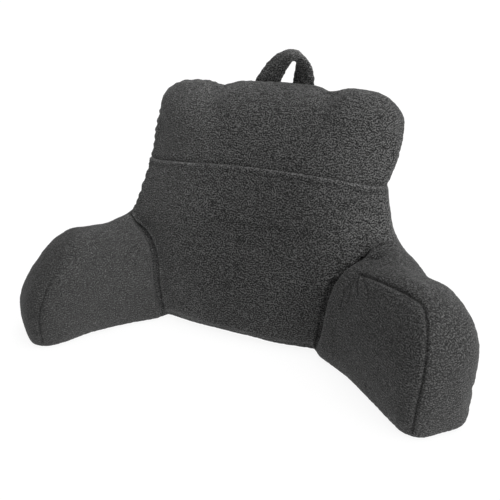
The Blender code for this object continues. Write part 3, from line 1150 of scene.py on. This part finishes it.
def cover_object(name, points, quads, normals, pile):
    """A closed object of part of the cover, shaded as the whole cover is."""
    used, numbers = np.unique(quads, return_inverse=True)
    item = mesh_object(name, points[used], numbers.reshape(quads.shape))
    mesh = bmesh.new()
    mesh.from_mesh(item.data)
    rims = [edge for edge in mesh.edges if edge.is_boundary]
    ends = bmesh.ops.holes_fill(mesh, edges=rims, sides=0)["faces"]
    bmesh.ops.poke(mesh, faces=ends)
    mesh.to_mesh(item.data)
    mesh.free()
    added = len(item.data.vertices) - len(used)
    shading = np.concatenate([normals[used], np.tile((0.0, 0.0, 1.0), (added, 1))])
    item.data.normals_split_custom_set_from_vertices(shading.tolist())
    lay_pile(item, pile[used])
    return item


def finished(item, material):
    """The piece in the fabric, riding on the one body."""
    item.data.materials.clear()
    item.data.materials.append(material)
    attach(item, "root")
    return item


# The floor glows a little, so that it is white all over, and takes the pillow's faint shadow.
FLOOR_HALF = 20.0
FLOOR_GREY = 0.12
FLOOR_GLOW = 0.90
WORLD_GLOW = 0.1


def make_stage():
    """The floor, the light and the camera."""
    size = FLOOR_HALF
    corners = np.array([(-size, -size, 0), (size, -size, 0), (size, size, 0), (-size, size, 0)])
    floor = mesh_object("floor", corners, np.array([[0, 1, 2, 3]]))
    white = bpy.data.materials.new("floor_white")
    white.use_nodes = True
    paint = white.node_tree.nodes["Principled BSDF"]
    paint.inputs["Base Color"].default_value = (FLOOR_GREY, FLOOR_GREY, FLOOR_GREY, 1)
    paint.inputs["Roughness"].default_value = 1.0
    paint.inputs["Specular IOR Level"].default_value = 0.0
    paint.inputs["Emission Color"].default_value = (1, 1, 1, 1)
    paint.inputs["Emission Strength"].default_value = FLOOR_GLOW
    floor.data.materials.append(white)
    scene = bpy.context.scene
    world = bpy.data.worlds.new("studio")
    world.use_nodes = True
    world.node_tree.nodes["Background"].inputs["Color"].default_value = (1, 1, 1, 1)
    world.node_tree.nodes["Background"].inputs["Strength"].default_value = WORLD_GLOW
    scene.world = world
    for name, toward, energy, spread in LAMPS:
        lamp = bpy.data.lights.new(name, "SUN")
        lamp.energy = energy
        lamp.angle = math.radians(spread)
        item = bpy.data.objects.new(name, lamp)
        item.rotation_euler = Vector(toward).to_track_quat("Z", "Y").to_euler()
        scene.collection.objects.link(item)
    view = bpy.data.cameras.new("camera")
    view.lens = CAMERA_LENS
    view.sensor_width = 36.0
    camera = bpy.data.objects.new("camera", view)
    camera.location = CAMERA_PLACE
    toward = Vector(CAMERA_TARGET) - Vector(CAMERA_PLACE)
    camera.rotation_euler = toward.to_track_quat("-Z", "Y").to_euler()
    scene.collection.objects.link(camera)
    scene.camera = camera
    scene.view_settings.view_transform = "Standard"


# Under the pocket the cover has no pile and is drawn in a little: within this distance of the pocket.
UNDER_REACH = 0.006
UNDER_EDGE = (0.003, 0.0055)
UNDER_INSET = 0.0006


def main():
    """Builds the pieces and the stage."""
    make_stage()
    material = fabric()
    points, quads, piece, pile = shaped_cover()
    cover_tree = tree_of(points, quads)
    pocket, pocket_quads, facings, amount, pocket_look = pocket_piece(cover_tree)
    pocket = leaning(with_pile(pocket, facings, amount))
    points = leaning(points)
    pocket_item = finished(mesh_object("pocket_panel", pocket, pocket_quads), material)
    lay_pile(pocket_item, pocket_look)
    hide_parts("pocket")
    under = distances(points, tree_of(pocket, pocket_quads), UNDER_REACH)
    bare = smoothstep(under, *UNDER_EDGE)
    normals = normals_of(points, quads)
    points = with_pile(points, normals, bare) - normals * (UNDER_INSET * (1 - bare))[:, None]
    points[:, 2] = np.maximum(points[:, 2], FLOOR_CLEAR)
    shading = normals_of(points, quads)
    for number, (name, node) in enumerate(COVERS):
        item = finished(cover_object(name, points, quads[piece == number], shading, pile), material)
        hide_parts(node)
    strap, strap_quads = handle_piece()
    strap = with_pile(strap, normals_of(strap, strap_quads), np.full(len(strap), HANDLE_PILE))
    handle = finished(mesh_object("handle_strap", strap, strap_quads), material)
    # The handle is drawn lighter all over, and its right leg lighter still, a painted light.
    tone = HANDLE_TONE + HANDLE_RIGHT_PAINTED_LIGHT * smoothstep(strap[:, 0], *HANDLE_RIGHT_START)
    lay_pile(handle, np.stack([np.full(len(strap), HANDLE_LIE), tone], axis=1))
    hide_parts("handle")


main()
